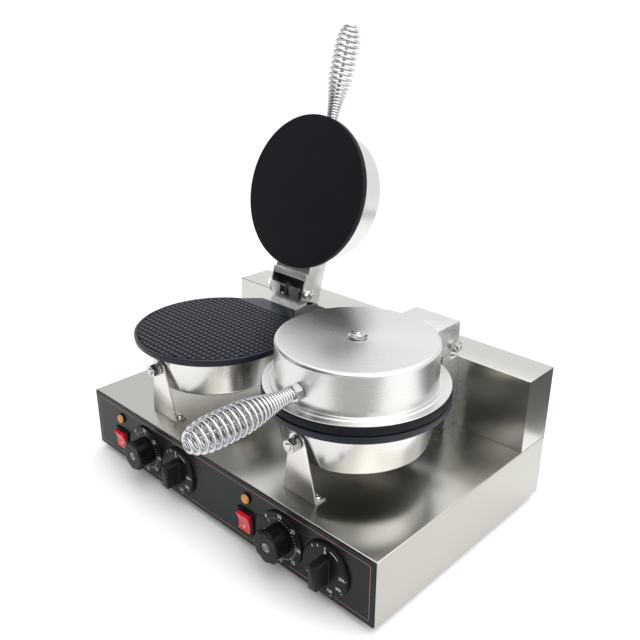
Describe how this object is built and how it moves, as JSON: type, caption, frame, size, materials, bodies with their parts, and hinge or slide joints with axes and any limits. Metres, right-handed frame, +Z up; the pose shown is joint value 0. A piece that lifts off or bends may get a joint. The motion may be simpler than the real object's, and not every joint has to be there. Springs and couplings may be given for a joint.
{
  "type": "waffle cone maker",
  "caption": "Counter waffle cone maker: two round baking irons with hinged lids and coil-spring handles on a low steel base with a dark control panel.",
  "frame": {"origin": "under the middle of the overall box, in the plane that the feet stand on", "axes": "+X to the right along the control panel, +Y from the front to the back, +Z up"},
  "size_m": [0.5, 0.4972, 0.5536],
  "materials": {
    "stainless_housing": "fine brushed, semi-bright",
    "stainless_casing": "spun and brushed",
    "galvanised_sheet": "galvanised",
    "chrome_steel": "polished",
    "zinc_steel": "bright zinc",
    "coated_plate": "black non-stick coating",
    "black_panel": "satin printed overlay",
    "black_bakelite": "satin moulded",
    "black_plastic": "moulded",
    "red_plastic": "translucent moulded",
    "amber_lens": "translucent lens",
    "black_rubber": "matt",
    "white_ceramic": "glazed block",
    "phenolic_brown": "moulded phenolic",
    "heater_sheath": "heat-darkened sheath",
    "fibre_pad": "ceramic fibre"
  },
  "bodies": {
    "base": {"base_housing": "stainless_housing", "bottom_cover": "galvanised_sheet", "control_panel": "black_panel", "rear_housing": "stainless_housing", "cable_gland": "black_plastic", "terminal_block": "white_ceramic", "foot_front_left": "black_rubber", "foot_front_right": "black_rubber", "foot_rear_left": "black_rubber", "foot_rear_right": "black_rubber", "lower_casing_left": "stainless_casing", "lower_plate_left": "coated_plate", "lower_heater_left": "heater_sheath", "lower_insulation_left": "fibre_pad", "front_bracket_left": "stainless_housing", "bracket_bolt_left": "zinc_steel", "hinge_bracket_left": "galvanised_sheet", "hinge_pin_left": "zinc_steel", "lower_casing_right": "stainless_casing", "lower_plate_right": "coated_plate", "lower_heater_right": "heater_sheath", "lower_insulation_right": "fibre_pad", "front_bracket_right": "stainless_housing", "bracket_bolt_right": "zinc_steel", "hinge_bracket_right": "galvanised_sheet", "hinge_pin_right": "zinc_steel", "timer_left": "phenolic_brown", "timer_dial_left": "black_bakelite", "thermostat_left": "phenolic_brown", "switch_body_left": "black_plastic", "indicator_lamp_left": "amber_lens", "timer_right": "phenolic_brown", "timer_dial_right": "black_bakelite", "thermostat_right": "phenolic_brown", "switch_body_right": "black_plastic", "indicator_lamp_right": "amber_lens"},
    "lid_left": {"lid_plate_left": "coated_plate", "lid_heater_left": "heater_sheath", "lid_insulation_left": "fibre_pad", "lid_cover_left": "stainless_casing", "lid_nut_left": "zinc_steel", "hinge_arm_left": "stainless_housing", "handle_rod_left": "zinc_steel", "handle_nut_left": "chrome_steel", "handle_spring_left": "chrome_steel"},
    "timer_knob_left": {"timer_knob_left": "black_bakelite"},
    "thermostat_knob_left": {"thermostat_knob_left": "black_bakelite"},
    "switch_rocker_left": {"switch_rocker_left": "red_plastic"},
    "lid_right": {"lid_plate_right": "coated_plate", "lid_heater_right": "heater_sheath", "lid_insulation_right": "fibre_pad", "lid_cover_right": "stainless_casing", "lid_nut_right": "zinc_steel", "hinge_arm_right": "stainless_housing", "handle_rod_right": "zinc_steel", "handle_nut_right": "chrome_steel", "handle_spring_right": "chrome_steel"},
    "timer_knob_right": {"timer_knob_right": "black_bakelite"},
    "thermostat_knob_right": {"thermostat_knob_right": "black_bakelite"},
    "switch_rocker_right": {"switch_rocker_right": "red_plastic"}
  },
  "joints": [
    {"name": "lid_hinge_left", "type": "hinge", "parent": "base", "child": "lid_left", "pos_m": [-0.122, 0.11871, 0.206], "axis": [-1, 0, 0], "range_deg": [-107, 0]},
    {"name": "timer_turn_left", "type": "hinge", "parent": "base", "child": "timer_knob_left", "pos_m": [-0.1313, -0.13929, 0.048], "axis": [0, 1, 0], "range_deg": [0, 300]},
    {"name": "thermostat_turn_left", "type": "hinge", "parent": "base", "child": "thermostat_knob_left", "pos_m": [-0.064, -0.13929, 0.0477], "axis": [0, 1, 0], "range_deg": [0, 270]},
    {"name": "switch_rock_left", "type": "hinge", "parent": "base", "child": "switch_rocker_left", "pos_m": [-0.189, -0.13109, 0.0395], "axis": [-1, 0, 0], "range_deg": [0, 18]},
    {"name": "lid_hinge_right", "type": "hinge", "parent": "base", "child": "lid_right", "pos_m": [0.122, 0.11871, 0.206], "axis": [-1, 0, 0], "range_deg": [0, 107]},
    {"name": "timer_turn_right", "type": "hinge", "parent": "base", "child": "timer_knob_right", "pos_m": [0.1187, -0.13929, 0.048], "axis": [0, 1, 0], "range_deg": [0, 300]},
    {"name": "thermostat_turn_right", "type": "hinge", "parent": "base", "child": "thermostat_knob_right", "pos_m": [0.186, -0.13929, 0.0477], "axis": [0, 1, 0], "range_deg": [0, 270]},
    {"name": "switch_rock_right", "type": "hinge", "parent": "base", "child": "switch_rocker_right", "pos_m": [0.061, -0.13109, 0.0395], "axis": [-1, 0, 0], "range_deg": [0, 18]}
  ]
}
